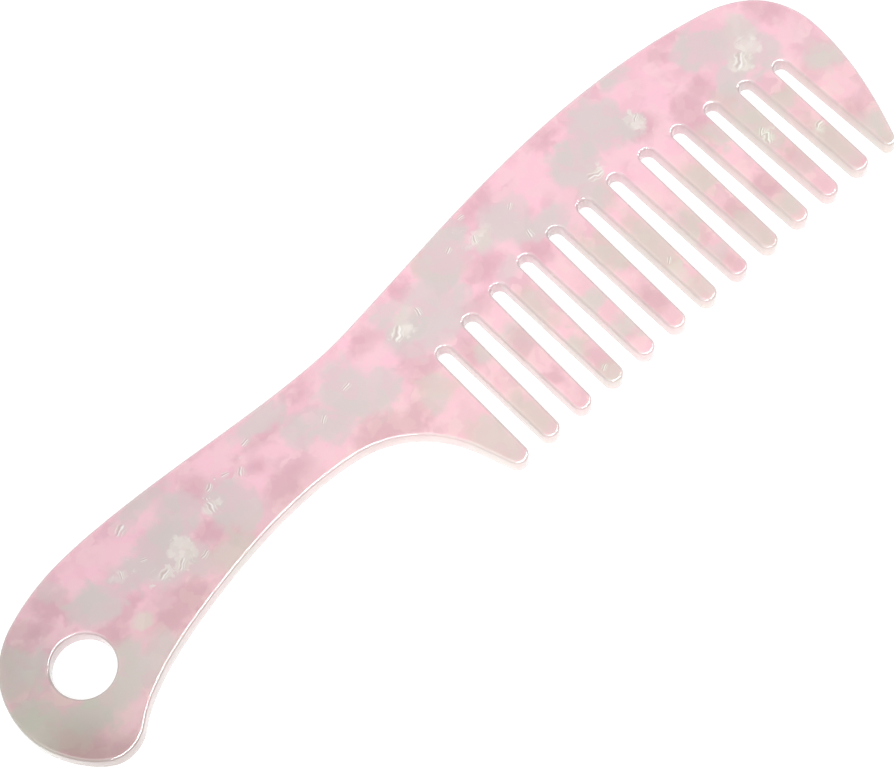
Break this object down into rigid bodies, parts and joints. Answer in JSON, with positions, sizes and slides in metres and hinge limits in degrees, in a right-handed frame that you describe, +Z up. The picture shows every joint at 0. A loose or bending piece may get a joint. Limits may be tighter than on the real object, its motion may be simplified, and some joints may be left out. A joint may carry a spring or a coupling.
{
  "type": "wide tooth comb",
  "caption": "Wide tooth hair comb sawn from marbled pink and grey acetate sheet, with a curved handle and a round hanging hole.",
  "frame": {"origin": "centre of the comb's bounding box on its back face, the face it rests on", "axes": "+X along the row of teeth from the handle towards the free end, +Y towards the spine, away from the tooth tips, +Z up through the sheet, out of the front face"},
  "size_m": [0.1932, 0.0468, 0.0036],
  "materials": {
    "pink_acetate": "polished, slightly translucent",
    "grey_pearl_acetate": "polished, pearlescent",
    "dusky_rose_acetate": "polished, slightly translucent",
    "pale_pearl_acetate": "polished, pearlescent"
  },
  "bodies": {
    "root": {"comb_body": "pink_acetate", "grey_pearl_chips": "grey_pearl_acetate", "dusky_rose_chips": "dusky_rose_acetate", "pale_pearl_chips": "pale_pearl_acetate"}
  },
  "joints": []
}
